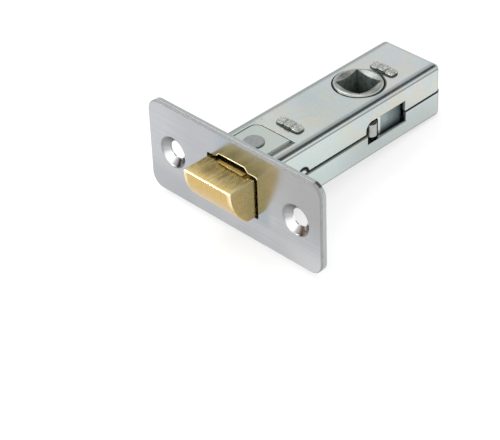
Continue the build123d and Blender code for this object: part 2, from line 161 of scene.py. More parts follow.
class Signal:
    """A shader socket that takes part in sums, so that a mask reads as an expression."""

    def __init__(self, finish, socket):
        self.finish = finish
        self.socket = socket

    def maths(self, operation, *terms):
        return self.finish.node("ShaderNodeMath", {"operation": operation}, dict(enumerate(terms)))

    def __add__(self, other):
        return self.maths("ADD", self, other)

    def __sub__(self, other):
        return self.maths("SUBTRACT", self, other)

    def __rsub__(self, other):
        return self.maths("SUBTRACT", other, self)

    def __mul__(self, other):
        return self.maths("MULTIPLY", self, other)

    def __pow__(self, other):
        return self.maths("POWER", self, other)

    def size(self):
        return self.maths("ABSOLUTE", self)

    def least(self, other):
        return self.maths("MINIMUM", self, other)

    def most(self, other):
        return self.maths("MAXIMUM", self, other)

    __radd__ = __add__
    __rmul__ = __mul__


class Finish:
    """One material, mixed from nodes. Places are in millimetres, in the latch's own frame."""

    def __init__(self, name, tree=None):
        if tree is None:
            self.material = bpy.data.materials.new(name)
            self.material.use_nodes = True
            tree = self.material.node_tree
        self.tree = tree
        self.tree.nodes.clear()

    def node(self, kind, settings=None, sockets=None, output=0):
        """Any node: its settings first, then the values or links of its sockets."""
        made = self.tree.nodes.new(kind)
        for key, value in (settings or {}).items():
            setattr(made, key, value)
        for key, value in (sockets or {}).items():
            if isinstance(value, Signal):
                self.tree.links.new(value.socket, made.inputs[key])
            else:
                made.inputs[key].default_value = value
        return Signal(self, made.outputs[output]) if made.outputs else made

    def place(self):
        """Place on the piece, in millimetres."""
        at = self.node("ShaderNodeTexCoord", output="Object")
        return self.node("ShaderNodeVectorMath", {"operation": "SCALE"}, {0: at, "Scale": 1 / MM})

    def parts(self, at):
        """The three numbers of a place."""
        return [self.node("ShaderNodeSeparateXYZ", sockets={0: at}, output=i) for i in range(3)]

    def facing(self):
        """The three numbers of the direction that the surface faces, on the piece."""
        return self.parts(self.node("ShaderNodeTexCoord", output="Normal"))

    def stretched(self, at, x, y, z):
        """Place multiplied along each axis, for streaks."""
        return self.node("ShaderNodeVectorMath", {"operation": "MULTIPLY"}, {0: at, 1: (x, y, z)})

    def shifted(self, at, x, y, z):
        """Place moved along, for a second cloud that differs from the first."""
        return self.node("ShaderNodeVectorMath", {"operation": "ADD"}, {0: at, 1: (x, y, z)})

    def turned(self, at, angles, scale):
        """Place turned and then stretched, for streaks that run aslant."""
        return self.node("ShaderNodeMapping", sockets={"Vector": at, "Rotation": angles, "Scale": scale})

    def cloud(self, at, scale, detail=2.0, roughness=0.5, distortion=0.0):
        """Soft noise from 0 to 1."""
        return self.node("ShaderNodeTexNoise", {"noise_dimensions": "3D"}, {
            "Vector": at, "Scale": scale, "Detail": detail, "Roughness": roughness,
            "Distortion": distortion})

    def ramp(self, value, low, high, start=0.0, end=1.0):
        """Smooth step of a value between two levels."""
        return self.node("ShaderNodeMapRange", {"interpolation_type": "SMOOTHSTEP", "clamp": True}, {
            "Value": value, "From Min": low, "From Max": high, "To Min": start, "To Max": end})

    def band(self, value, outer_low, low, high, outer_high):
        """One from low to high, nought beyond the outer levels."""
        return self.ramp(value, outer_low, low) * self.ramp(value, outer_high, high)

    def distance(self, first, second):
        """Distance from a point, from the two parts of the way to it."""
        return (first * first + second * second) ** 0.5

    def blend(self, amount, first, second):
        """Colour between two colours."""
        return self.node("ShaderNodeMix", {"data_type": "RGBA"}, {0: amount, 6: first, 7: second}, output=2)

    def softened(self, radius):
        """Normal rounded over sharp edges."""
        return self.node("ShaderNodeBevel", {"samples": 6}, {"Radius": radius * MM})

    def edges(self, radius):
        """One on sharp edges, where the rounded normal leaves the true one."""
        true = self.node("ShaderNodeNewGeometry", output="Normal")
        match = self.node("ShaderNodeVectorMath", {"operation": "DOT_PRODUCT"},
                          {0: self.softened(radius), 1: true}, output=1)
        return self.ramp(match, 0.99, 0.88)

    def crevice(self, reach, low=0.85, high=0.25):
        """One in narrow gaps and corners, nought in the open."""
        open_share = self.node("ShaderNodeAmbientOcclusion", {"samples": 8}, {"Distance": reach * MM},
                               output="AO")
        return self.ramp(open_share, low, high)

    def bump(self, height, distance, strength=1.0, normal=None):
        """Normal bent by a height in millimetres."""
        sockets = {"Height": height, "Distance": distance * MM, "Strength": strength}
        if normal is not None:
            sockets["Normal"] = normal
        return self.node("ShaderNodeBump", sockets=sockets)

    def surface(self, colour, rough, normal=None, metal=1.0):
        """The finished metal."""
        values = {"Base Color": colour, "Roughness": rough, "Metallic": metal}
        if normal is not None:
            values["Normal"] = normal
        shader = self.node("ShaderNodeBsdfPrincipled", sockets=values)
        self.node("ShaderNodeOutputMaterial", sockets={"Surface": shader})
        return self.material


def rgb(red, green, blue):
    """A colour as the sockets take it."""
    return (red, green, blue, 1.0)


def grey(level, blue=0.0):
    """A neutral metal colour, a little towards blue."""
    return rgb(level - blue / 2, level, level + blue)


# Colour of the painted shade in gaps, seams and crevices
painted_gap_shade = rgb(0.05, 0.06, 0.055)


def pressed_dish(mix, ring, nx, nz):
    """Painted reflections of a screw dish, by the way each wall faces: a painted highlight below, painted
    shade near the rim and on the side turned from the light.
    """
    colour = mix.blend(mix.ramp(ring, dish_rim - 1.0, dish_rim - 0.1) * 0.6, grey(0.46), grey(0.26, 0.01))
    shaded_outer_side = mix.ramp(nx, 0.1, 0.3) * mix.ramp(nz, 0.1, -0.1)
    colour = mix.blend(shaded_outer_side * 0.5, colour, grey(0.22, 0.01))
    colour = mix.blend(mix.ramp(nz, -0.15, -0.45) * 0.8, colour, grey(0.20))
    shine = mix.ramp(nz, 0.15, 0.38) * mix.ramp(nx, 0.02, 0.2)
    colour = mix.blend(shine, colour, grey(0.96))
    return mix.blend(mix.ramp(nx, 0.05, -0.2) * 0.85, colour, rgb(0.16, 0.145, 0.145))


def satin_plate():
    """Front of the forend: satin brushed along its length, with dishes pressed smooth."""
    mix = Finish("satin_plate")
    at = mix.place()
    x, y, z = mix.parts(at)
    nx, ny, nz = mix.facing()
    grain = mix.cloud(mix.stretched(at, 0.04, 1, 1), 9.0, detail=4, roughness=0.75)
    streak = mix.cloud(mix.stretched(at, 0.022, 1, 1), 1.7, detail=3, roughness=0.6)
    scratch = mix.cloud(mix.stretched(at, 0.03, 1, 1), 6.0, detail=3, roughness=0.7)
    haze = mix.cloud(at, 0.08, detail=2)
    ring = mix.distance(x.size() - screw_x, z)
    dish = mix.ramp(ring, dish_rim + 0.2, dish_rim - 0.2)
    outside = mix.ramp(ring, dish_rim + 0.1, dish_rim + 0.5)

    # The brushed face: darker towards the upper right, in the middle of the left half and low on the left,
    # brighter at the lower right corner, and scratched on the right
    tone = mix.ramp(grain * 0.3 + streak * 0.4 + haze * 0.3, 0.36, 0.62)
    colour = mix.blend(tone, grey(0.45, 0.020), grey(0.53, 0.024))
    darker_upper_right = mix.ramp(x, 2, 24) * mix.ramp(z, -9, 4)
    colour = mix.blend(darker_upper_right * 0.95, colour, grey(0.36, 0.002))
    darker_left = mix.band(x, -25, -13, -7, 2)
    darker_low_left = mix.ramp(z, -2, -9) * mix.ramp(x, -4, -18)
    colour = mix.blend((darker_left * 0.7).most(darker_low_left) * 0.8, colour, grey(0.42, 0.018))
    scratched_right = mix.ramp(scratch, 0.58, 0.68) * mix.ramp(x, 6, 20)
    colour = mix.blend(scratched_right * 0.25, colour, grey(0.66))
    bright_corner = mix.ramp(x, 12, 25) * mix.ramp(z, -5, -11)
    colour = mix.blend(bright_corner * 0.8, colour, grey(0.58))
    # Painted shade over the bolt's reflection in the plate, darker and bluer, to tone that reflection down
    bolt_reflection_shade = mix.band(x, -7.5, -2.5, 10.5, 13.5) * mix.ramp(z, -8.0, -5.0)
    colour = mix.blend(bolt_reflection_shade * 0.75, colour, rgb(0.35, 0.40, 0.44))
    colour = mix.blend(dish, colour, pressed_dish(mix, ring, nx, nz))

    # The outer edge: rounded lip with painted shade that dims its highlight, sheared middle, and a painted
    # highlight along the joint of the plates
    lip = mix.ramp(ny, -0.985, -0.90) * outside * mix.ramp(nz.size().most(nx.size()), 0.05, 0.2)
    colour = mix.blend(lip * 0.8, colour, grey(0.34))
    sheared = mix.ramp(y, 0.10, 0.22) * outside
    colour = mix.blend(sheared * 0.85, colour, grey(0.44))
    speck = mix.cloud(mix.turned(at, (0, 0.6, 0), (1.0, 0.5, 0.3)), 2.6, detail=3, roughness=0.8)
    colour = mix.blend(sheared * mix.ramp(speck, 0.5, 0.62) * 0.6, colour, grey(0.32))
    # Painted highlight where the rounded arris at the joint of the plates catches the light
    joint_highlight = mix.ramp(y, plate_joint - 0.14, plate_joint - 0.06) * outside
    colour = mix.blend(joint_highlight, colour, grey(0.60))
    # Painted shade in the gaps round the aperture
    colour = mix.blend(mix.crevice(1.0) * mix.ramp(y, 0.05, 0.3), colour, grey(0.05))

    rough = mix.ramp(grain, 0.3, 0.7, 0.17, 0.23) * (1 - dish) + dish * 0.22 + lip * 0.45
    normal = mix.bump(grain * (1 - dish), 0.010, 0.6, mix.softened(0.12))
    from_screw = mix.node("ShaderNodeCombineXYZ", sockets={0: ring, 1: 0.0, 2: 0.0})
    tool_marks = mix.cloud(from_screw, 3.0, detail=2)
    normal = mix.bump(tool_marks * dish, 0.004, 0.35, normal)
    return mix.surface(colour, rough, normal)


def plating_tints(mix, at, x, y, z, nz, film, side):
    """The cloudy film of the plating, warmer, greener or bluer from place to place; darker in the middle of
    the top and on the lug's face, paler on the side towards the front, and darker low on the side towards
    the rear.
    """
    colour = mix.blend(mix.ramp(film, 0.3, 0.7), rgb(0.50, 0.565, 0.55), rgb(0.57, 0.62, 0.635))
    warm = mix.cloud(mix.shifted(at, 40, 12, 7), 0.16, detail=3, roughness=0.6, distortion=0.2)
    colour = mix.blend(mix.ramp(warm, 0.42, 0.62) * 0.75, colour, rgb(0.61, 0.59, 0.49))
    pink = mix.cloud(mix.shifted(at, 9, 70, 31), 0.18, detail=3, roughness=0.6)
    colour = mix.blend(mix.ramp(pink, 0.5, 0.75) * 0.45, colour, rgb(0.60, 0.555, 0.565))
    middle = mix.band(y, 20, 31, 36, 48) * mix.ramp(nz, 0.8, 0.98)
    colour = mix.blend(middle * 0.5, colour, rgb(0.455, 0.515, 0.53))
    upward = mix.ramp(nz, 0.5, 0.9)
    bluish = mix.ramp(film * 12 + y, 34, 66) * upward
    colour = mix.blend(bluish * 0.4, colour, rgb(0.545, 0.57, 0.615))
    greenish = mix.ramp(film * 10 + y, 30, 14) * upward
    colour = mix.blend(greenish * 0.4, colour, rgb(0.53, 0.58, 0.50))
    pale_side = side * mix.ramp(y, 38, 22)
    colour = mix.blend(pale_side * 0.6, colour, rgb(0.60, 0.70, 0.68))
    low_side = side * mix.ramp(z, -0.3, -1.5) * mix.ramp(y, 24, 36)
    colour = mix.blend(low_side * 0.6, colour, rgb(0.455, 0.515, 0.51))
    lug_face = mix.ramp(y, lug_end + 0.5, lug_end - 0.3) * mix.ramp(y, forend_back, forend_back + 0.2)
    lug_face = lug_face * mix.ramp(x, lug_right + 0.4, lug_right - 0.2)
    lug_face = lug_face * mix.ramp(z, case_top - 0.3, case_top - 0.1)
    return mix.blend(lug_face * 0.5, colour, rgb(0.45, 0.51, 0.485))


def plating_marks(mix, at, x, y, z, colour, fine):
    """Speckles, rubbed strokes and one speck of rust."""
    speckle = mix.cloud(at, 3.4, detail=2, roughness=0.6)
    colour = mix.blend(mix.ramp(speckle, 0.58, 0.70) * 0.32, colour, rgb(0.70, 0.73, 0.70))
    colour = mix.blend(mix.ramp(fine, 0.45, 0.75) * 0.2, colour, rgb(0.38, 0.42, 0.41))
    rub = mix.cloud(mix.turned(at, (0, 0, 0.5), (0.5, 2.2, 1)), 1.1, detail=4, roughness=0.8)
    colour = mix.blend(mix.ramp(rub, 0.60, 0.68) * 0.4, colour, rgb(0.72, 0.74, 0.70))
    rust = mix.ramp(mix.distance(x - rust_x, y - rust_y) + fine * 0.3, 0.62, 0.35)
    rust = rust * mix.ramp(z, case_top - 0.3, case_top - 0.1)
    return mix.blend(rust * 0.8, colour, rgb(0.62, 0.40, 0.17))


def painted_bend_reflections(mix, x, y, nx, nz, colour, fine, side):
    """Painted dark reflections along the bends, broken by darker speckle, and a thin painted dark reflection
    where the long bends meet the sides.
    """
    long_bend_reflection = mix.ramp(x.size() + fine * 0.5, bend_start - 0.8, bend_start + 0.3)
    long_bend_reflection = long_bend_reflection * mix.ramp(nx.size(), 0.78, 0.62)
    colour = mix.blend(long_bend_reflection * 0.75, colour, rgb(0.24, 0.265, 0.265))
    bend_speckle = mix.ramp(nx.size(), 0.6, 0.75) * mix.ramp(fine, 0.48, 0.62) * (1 - side)
    colour = mix.blend(bend_speckle * 0.3, colour, rgb(0.30, 0.32, 0.31))
    rear_bend_reflection = mix.ramp(y + fine * 0.5, case_rear - 1.9, case_rear - 0.7) * mix.ramp(nz, 0.15, 0.5)
    colour = mix.blend(rear_bend_reflection * 0.5, colour, rgb(0.33, 0.35, 0.35))
    bend_edge_reflection = mix.band(nx.size(), 0.86, 0.92, 0.965, 0.988)
    return mix.blend(bend_edge_reflection * 0.8, colour, rgb(0.17, 0.19, 0.19))


def sheet_gap_shade(mix, x, y, z, nz, colour):
    """Painted shade in the gap round the hub, along the seam of the two shells and round the nib in it."""
    hub_ring = (mix.distance(x, y - spindle_y) - (journal_hole + 0.1)).size()
    shaded_half = mix.ramp(x + y - spindle_y, 1.0, 6.0)
    hub_gap = mix.ramp(hub_ring, 0.3, 0.12) * shaded_half * mix.ramp(nz, 0.8, 0.95)
    colour = mix.blend(hub_gap * 0.9, colour, painted_gap_shade)
    on_side = mix.ramp(x.size(), case_side - 1.3, case_side - 0.7)
    # Painted shade that widens the seam's dark line down the lower shell's edge towards the front
    painted_light_edge = mix.ramp(z, -0.75, -0.55).most(mix.ramp(z, -1.1, -0.85) * 0.7) * mix.ramp(y, 46, 38)
    seam = painted_light_edge.most(mix.ramp(z, -0.62, -0.40)) * mix.ramp(z, 0.1, -0.1) * on_side
    nib_ring = (mix.distance(y - nib_y, z - nib_z) - nib_gap_radius).size()
    nib_gap = mix.ramp(nib_ring, 0.62, 0.42) * mix.ramp(z, -0.4, -0.1) * on_side
    return mix.blend(seam.most(nib_gap), colour, painted_gap_shade)


def zinc():
    """Bright zinc plating on rolled sheet: pale, cloudy, with faint tints."""
    mix = Finish("zinc_steel")
    at = mix.place()
    x, y, z = mix.parts(at)
    nx, ny, nz = mix.facing()
    film = mix.cloud(at, 0.10, detail=4, roughness=0.6, distortion=0.3)
    fine = mix.cloud(at, 1.6, detail=3, roughness=0.7)
    rolled = mix.cloud(mix.stretched(at, 1, 0.05, 1), 5.0, detail=3, roughness=0.6)
    side = mix.ramp(x.size(), case_side - 0.5, case_side - 0.2)
    colour = plating_tints(mix, at, x, y, z, nz, film, side)
    colour = plating_marks(mix, at, x, y, z, colour, fine)
    colour = painted_bend_reflections(mix, x, y, nx, nz, colour, fine, side)
    colour = sheet_gap_shade(mix, x, y, z, nz, colour)

    # Painted shade in the gaps, but less so round the lug and at the window's rear, which lie open
    beside_lug = mix.ramp(y, lug_end + 1.5, lug_end + 0.7) * mix.ramp(x, lug_right + 2.0, lug_right + 1.6)
    beside_lug = beside_lug * mix.ramp(z, case_top - 2.0, case_top - 1.4)
    window_wall = mix.ramp(y, window_rear - 4.0, window_rear - 3.5)
    window_wall = window_wall * mix.ramp(y, window_rear + 1.2, window_rear + 0.8)
    window_wall = window_wall * mix.ramp(x.size(), case_side - 1.1, case_side - 0.8)
    open_corner = (1 - beside_lug * 0.7) * (1 - window_wall * 0.65)
    colour = mix.blend(mix.crevice(1.2) * open_corner, colour, painted_gap_shade)

    # Cut edges of the sheet and the recess round the lug, which are lighter than the gaps beside them
    window_rim = mix.ramp(x.size(), case_side - 0.6, case_side - 0.4) * mix.ramp(nx.size(), 0.5, 0.3)
    window_rim = window_rim * mix.ramp(z.size(), window_half_height + 0.35, window_half_height + 0.15)
    window_rim = window_rim * mix.ramp(y, bright_rim_start - 1.0, bright_rim_start)
    window_rim = window_rim * mix.ramp(y, window_rear + 0.4, window_rear + 0.2)
    colour = mix.blend(window_rim * 0.85, colour, rgb(0.46, 0.52, 0.50))
    plate_edge = mix.ramp(y, forend_back + 0.05, forend_back - 0.05) * mix.ramp(ny.size(), 0.5, 0.3)
    colour = mix.blend(plate_edge, colour, rgb(0.40, 0.43, 0.425))
    lug_gap = beside_lug * mix.ramp(x, lug_left - 0.8, lug_left - 0.4)
    lug_gap = lug_gap * mix.ramp(y, forend_back + 0.2, forend_back + 0.7)
    lug_gap = lug_gap * mix.ramp(z, case_top - 0.03, case_top - 0.15)
    colour = mix.blend(lug_gap * 0.8, colour, rgb(0.38, 0.42, 0.41))

    rough = mix.ramp(film, 0.3, 0.7, 0.14, 0.21)
    normal = mix.bump(rolled + fine * 0.4, 0.0025, 0.35, mix.softened(0.15))
    return mix.surface(colour, rough, normal, 1 - (window_rim * 0.85).most(lug_gap * 0.7))


def yoke_steel():
    """The yoke's strip, duller than the case, with painted shade of the window's recess darkening it towards
    its rear and its lower edge, and a bright cut end.
    """
    mix = Finish("yoke_steel")
    at = mix.place()
    _, y, z = mix.parts(at)
    film = mix.cloud(at, 0.5, detail=3, roughness=0.6)
    fine = mix.cloud(mix.stretched(at, 1, 0.1, 1), 4.0, detail=3, roughness=0.7)
    colour = mix.blend(mix.ramp(film, 0.35, 0.65), rgb(0.24, 0.295, 0.30), rgb(0.32, 0.375, 0.375))
    # Painted shade of the window's recess: darker towards the rear and towards the lower edge
    colour = mix.blend(mix.ramp(y, spindle_y - 1.0, spindle_y + 6.5) * 0.85, colour, rgb(0.06, 0.08, 0.085))
    colour = mix.blend(mix.ramp(z, -0.2, -2.4) * 0.6, colour, rgb(0.05, 0.06, 0.06))
    sheet_end = yoke_notch_rear + yoke_sheet
    cut_end = mix.ramp(y, sheet_end - 0.05, sheet_end - 0.25) * mix.ramp(z, 2.4, 2.0)
    colour = mix.blend(cut_end, colour, rgb(0.66, 0.70, 0.69))
    # Painted shade in the crevices
    colour = mix.blend(mix.crevice(1.2), colour, rgb(0.04, 0.05, 0.05))
    rough = mix.ramp(fine, 0.3, 0.7, 0.26, 0.40)
    return mix.surface(colour, rough, mix.bump(fine, 0.006, 0.4))


def bare_steel():
    """Peened and riveted ends: hammered through their plating, the rivets smoother and darker, with painted
    highlights on their edges and painted shade on their walls.
    """
    mix = Finish("bare_steel")
    at = mix.place()
    _, y, _ = mix.parts(at)
    _, _, nz = mix.facing()
    dent = mix.cloud(at, 1.3, detail=3, roughness=0.6)
    fine = mix.cloud(at, 5.0, detail=3, roughness=0.7)
    struck = mix.cloud(at, 2.4, detail=3, roughness=0.75)
    dented = mix.ramp(dent, 0.35, 0.7)
    colour = mix.blend(dented, rgb(0.33, 0.345, 0.32), rgb(0.45, 0.465, 0.44))
    colour = mix.blend(mix.ramp(struck, 0.55, 0.63) * 0.9, colour, rgb(0.86, 0.87, 0.83))
    colour = mix.blend(mix.ramp(struck, 0.46, 0.38) * 0.65, colour, rgb(0.17, 0.19, 0.17))
    rivet = mix.ramp(y, rivets_end + 0.5, rivets_end)
    rivet_colour = mix.blend(dented, rgb(0.275, 0.29, 0.29), rgb(0.33, 0.345, 0.34))
    colour = mix.blend(rivet, colour, rivet_colour)
    # Painted highlights on the sharp edges
    colour = mix.blend(mix.edges(0.14) * 0.7, colour, rgb(0.90, 0.91, 0.88))
    # Painted shade on the walls below the heads
    colour = mix.blend(mix.ramp(nz.size(), 0.70, 0.35) * 0.85, colour, rgb(0.09, 0.11, 0.095))
    rough = mix.ramp(fine, 0.3, 0.7, 0.14, 0.26)
    return mix.surface(colour, rough, mix.bump(dent * 2 + struck + fine * 0.5, 0.02, 0.5))


def brass():
    """The bolt: solid brass, linished from front to back, with a polished relief on top whose bright gold,
    lighter on its left and darker on its right, is painted light.
    """
    mix = Finish("bolt_brass")
    at = mix.place()
    x, y, z = mix.parts(at)
    nx, ny, nz = mix.facing()
    along = mix.cloud(mix.stretched(at, 1, 0.07, 1), 6.0, detail=4, roughness=0.7)
    aslant = mix.cloud(mix.turned(at, (0.6, 0, 0), (1, 0.06, 1)), 7.0, detail=4, roughness=0.7)
    score = mix.cloud(mix.stretched(at, 1, 0.09, 1), 2.9, detail=4, roughness=0.8)
    shaded = mix.cloud(mix.stretched(at, 1, 0.3, 1), 0.5, detail=2)
    haze = mix.cloud(at, 0.25, detail=2)
    scuff = mix.cloud(mix.stretched(at, 1, 1, 0.25), 3.6, detail=4, roughness=0.8)

    # Faces of the bolt
    top = mix.ramp(nz, 0.7, 0.95)
    end = mix.ramp(nx.size(), 0.7, 0.95)
    front = mix.ramp(ny, -0.6, -0.9)
    dip = mix.ramp(z, bolt_top - 0.003, bolt_top - 0.05) * mix.ramp(y, nose_end, nose_end + 0.4)
    dip = dip * mix.ramp(nz, 0.7, 0.85)
    beside_plate = mix.ramp(x.size(), relief_half_width, relief_half_width - 0.5)
    beside_plate = beside_plate * mix.ramp(y, relief_start - 0.4, relief_start + 0.1)
    relief = dip.most(beside_plate * top)
    linished_top = top * (1 - relief)

    # Scores and shade on top, scuffs on the other faces
    colour = mix.blend(mix.ramp(haze, 0.3, 0.7), rgb(0.72, 0.53, 0.205), rgb(0.80, 0.605, 0.265))
    scored = mix.ramp(score, 0.50, 0.60) * linished_top * mix.ramp(y, bolt_tip + 0.3, bolt_tip + 4.3)
    colour = mix.blend(scored * 0.75, colour, rgb(0.26, 0.19, 0.06))
    shade = mix.ramp(shaded, 0.42, 0.62) * linished_top * mix.ramp(y, bolt_tip + 0.7, bolt_tip + 3.3)
    colour = mix.blend(shade * 0.5, colour, rgb(0.34, 0.26, 0.10))
    colour = mix.blend(mix.ramp(score, 0.42, 0.36) * linished_top * 0.7, colour, rgb(1.0, 0.86, 0.52))
    colour = mix.blend(front * 0.8, colour, rgb(0.60, 0.405, 0.128))
    colour = mix.blend(mix.ramp(scuff, 0.46, 0.62) * (1 - top) * 0.35, colour, rgb(0.34, 0.25, 0.09))
    colour = mix.blend(mix.ramp(scuff, 0.40, 0.30) * (1 - top) * 0.5, colour, rgb(0.98, 0.84, 0.52))
    # Painted light on the relief: bright gold on its left and painted shade on its right; it is also made
    # less metallic so the room's light shows on it
    dip_painted_light = mix.blend(mix.ramp(x, -4, 4), rgb(0.97, 0.68, 0.18), rgb(0.76, 0.47, 0.07))
    colour = mix.blend(dip, colour, dip_painted_light)

    # Painted highlights along the edges, where the rounded edges catch the light; the roughness below is
    # also lowered on them, as wear polishes edges
    upper_part = mix.ramp(z, -1.0, 3.6)
    beside_end = mix.ramp(ny, -0.2, -0.4) * (1 - end) * upper_part
    end_highlight_band = mix.ramp(x.size(), bolt_side - 1.55, bolt_side - 0.45) * beside_end
    colour = mix.blend(end_highlight_band * 0.7, colour, rgb(1.0, 0.86, 0.54))
    tip_edge = mix.band(nz, 0.22, 0.40, 0.76, 0.88) * mix.ramp(ny, -0.1, -0.3)
    end_edge = mix.ramp(x.size(), bolt_side - 0.55, bolt_side - 0.15) * beside_end
    side_edge = mix.ramp(x.size(), bolt_side - 0.30, bolt_side - 0.13) * top
    corners = mix.edges(0.3) * (1 - dip) * upper_part * (1 - tip_edge)
    painted_light_edge = tip_edge.most(end_edge * 0.35).most(side_edge * 0.9).most(corners * 0.5)
    colour = mix.blend(painted_light_edge, colour, rgb(1.0, 0.965, 0.82))

    # Painted shade in the gap at the forend, and painted dark over the bolt where it lies inside the case
    gap = mix.crevice(0.7, 0.6, 0.2) * mix.ramp(y, -0.05, 0.15)
    colour = mix.blend(gap.most(mix.ramp(y, 0.50, 0.80)), colour, rgb(0.03, 0.022, 0.01))

    rough = mix.ramp(along, 0.3, 0.7, 0.22, 0.34) * (1 - painted_light_edge * 0.5)
    lines = along * (1 - end) + aslant * end
    normal = mix.bump(lines * (1 - relief), 0.008, 0.5, mix.softened(0.25))
    return mix.surface(colour, rough, normal, 1 - dip * 0.8)


def spring_steel():
    """Drawn spring wire."""
    mix = Finish("spring_steel")
    drawn = mix.cloud(mix.place(), 3.0, detail=3, roughness=0.6)
    return mix.surface(mix.blend(drawn, grey(0.30), grey(0.46)), mix.ramp(drawn, 0.3, 0.7, 0.25, 0.4))


def follower_steel():
    """The follower: plated, with a painted highlight round its rim, stained and dull inside its socket, with
    painted shade deeper in the socket and in its crevices.
    """
    mix = Finish("follower_steel")
    at = mix.place()
    x, y, z = mix.parts(at)
    from_spindle = y - spindle_y
    in_socket = mix.ramp(x.size().most(from_spindle.size()), socket_half + 0.25, socket_half)
    in_socket = in_socket * mix.ramp(z.size(), case_top + 0.7, case_top)
    grain = mix.cloud(at, 3.2, detail=4, roughness=0.7)
    patch = mix.cloud(at, 0.6, detail=2)
    stain = mix.cloud(at, 0.7, detail=4, roughness=0.7)
    colour = mix.blend(mix.ramp(patch, 0.35, 0.7), rgb(0.26, 0.28, 0.26), rgb(0.36, 0.375, 0.35))
    colour = mix.blend(mix.ramp(grain, 0.5, 0.66) * 0.6, colour, rgb(0.54, 0.55, 0.52))
    colour = mix.blend(mix.ramp(grain, 0.42, 0.33) * 0.5, colour, rgb(0.17, 0.19, 0.18))
    # Painted highlight round the rim, where its rounded edge catches the light
    rim = mix.ramp(mix.distance(x, from_spindle), journal_radius - 0.6, journal_radius - 0.3)
    colour = mix.blend(rim * 0.45, colour, rgb(0.60, 0.62, 0.60))
    socket_colour = mix.blend(mix.ramp(stain, 0.35, 0.65), rgb(0.11, 0.145, 0.135), rgb(0.24, 0.28, 0.255))
    colour = mix.blend(in_socket, colour, socket_colour)
    # Painted shade deeper in the socket
    colour = mix.blend(in_socket * mix.ramp(z, 6.0, 0.5) * 0.6, colour, rgb(0.05, 0.07, 0.065))
    # Painted shade in the crevices
    colour = mix.blend(mix.crevice(1.0), colour, rgb(0.05, 0.055, 0.05))
    rough = mix.ramp(grain, 0.3, 0.7, 0.28, 0.42) + in_socket * 0.15
    normal = mix.bump(grain, 0.010, 0.4, mix.softened(0.12))
    return mix.surface(colour, rough, normal, 1 - in_socket * 0.6)


def bright_lip():
    """Burr that the press leaves along the aperture's upper edge, polished with the face, coloured pale
    brass as a painted reflection of the bolt below it.
    """
    mix = Finish("polished_lip_painted_reflection")
    shine = mix.cloud(mix.place(), 1.5, detail=2)
    colour = mix.blend(shine, rgb(0.96, 0.86, 0.60), rgb(0.92, 0.78, 0.46))
    return mix.surface(colour, mix.ramp(shine, 0.3, 0.7, 0.10, 0.18))


finishes = {
    "satin_plate": satin_plate(),
    "zinc_steel": zinc(),
    "yoke_steel": yoke_steel(),
    "bare_steel": bare_steel(),
    "bolt_brass": brass(),
    "spring_steel": spring_steel(),
    "follower_steel": follower_steel(),
}


def dress(thing, finish):
    """Gives a piece its finish."""
    thing.data.materials.clear()
    thing.data.materials.append(finish)


for entry in frame["record"]["subparts"]:
    dress(nodes[entry["node"]], finishes[entry["material_slot"]])


# Corners of a piece nearer than this are joined, and edges shorter than this removed, in millimetres
weld_distance = 0.002
least_edge = 0.001


def add_piece(name, points, faces, body, slot, replaced, crisp=40):
    """Mesh piece with smooth faces, split at edges sharper than crisp degrees. Points are in millimetres."""
    mesh = bpy.data.meshes.new(name)
    build = bmesh.new()
    made = [build.verts.new(Vector(point) * MM) for point in points]
    for face in faces:
        build.faces.new([made[i] for i in face])
    bmesh.ops.remove_doubles(build, verts=build.verts, dist=weld_distance * MM)
    bmesh.ops.dissolve_degenerate(build, edges=build.edges, dist=least_edge * MM)
    bmesh.ops.recalc_face_normals(build, faces=build.faces)
    build.to_mesh(mesh)
    build.free()
    mesh.polygons.foreach_set("use_smooth", [True] * len(mesh.polygons))
    mesh.set_sharp_from_angle(angle=math.radians(crisp))
    thing = bpy.data.objects.new(name, mesh)
    bpy.context.scene.collection.objects.link(thing)
    dress(thing, finishes[slot])
    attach(thing, body)
    if replaced:
        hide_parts(*replaced)
    return thing


def rings_to_faces(first, rings, count):
    """Quads between closed rings of count points each, numbered from first."""
    faces = []
    for ring in range(rings - 1):
        near = first + ring * count
        for i in range(count):
            after = (i + 1) % count
            faces.append((near + i, near + after, near + count + after, near + count + i))
    return faces


def curve_mesh(curve):
    """Points and faces of a curve's mesh. The curve is used up."""
    holder = bpy.data.objects.new(curve.name, curve)
    mesh = bpy.data.meshes.new_from_object(holder)
    points = [vertex.co.copy() for vertex in mesh.vertices]
    faces = [tuple(face.vertices) for face in mesh.polygons]
    bpy.data.objects.remove(holder)
    bpy.data.curves.remove(curve)
    bpy.data.meshes.remove(mesh)
    return points, faces


# Lug rivets, in millimetres. Each ring of the rim is given by how far in from the side and how far
# below the top it lies. The dents are on what lies less than rivet_face below the top.
rivet_sides = 64
rivet_shank_radius = 1.75
rivet_tail_radius = 2.3
rivet_tail_height = 1.0
rivet_rim = [(0.0, 0.20), (0.03, 0.11), (0.10, 0.05), (0.22, 0.015), (0.36, 0.0)]
rivet_crown = 0.02
rivet_face = 0.04
rivet_dent = 0.015
rivet_dent_scale = 1.1


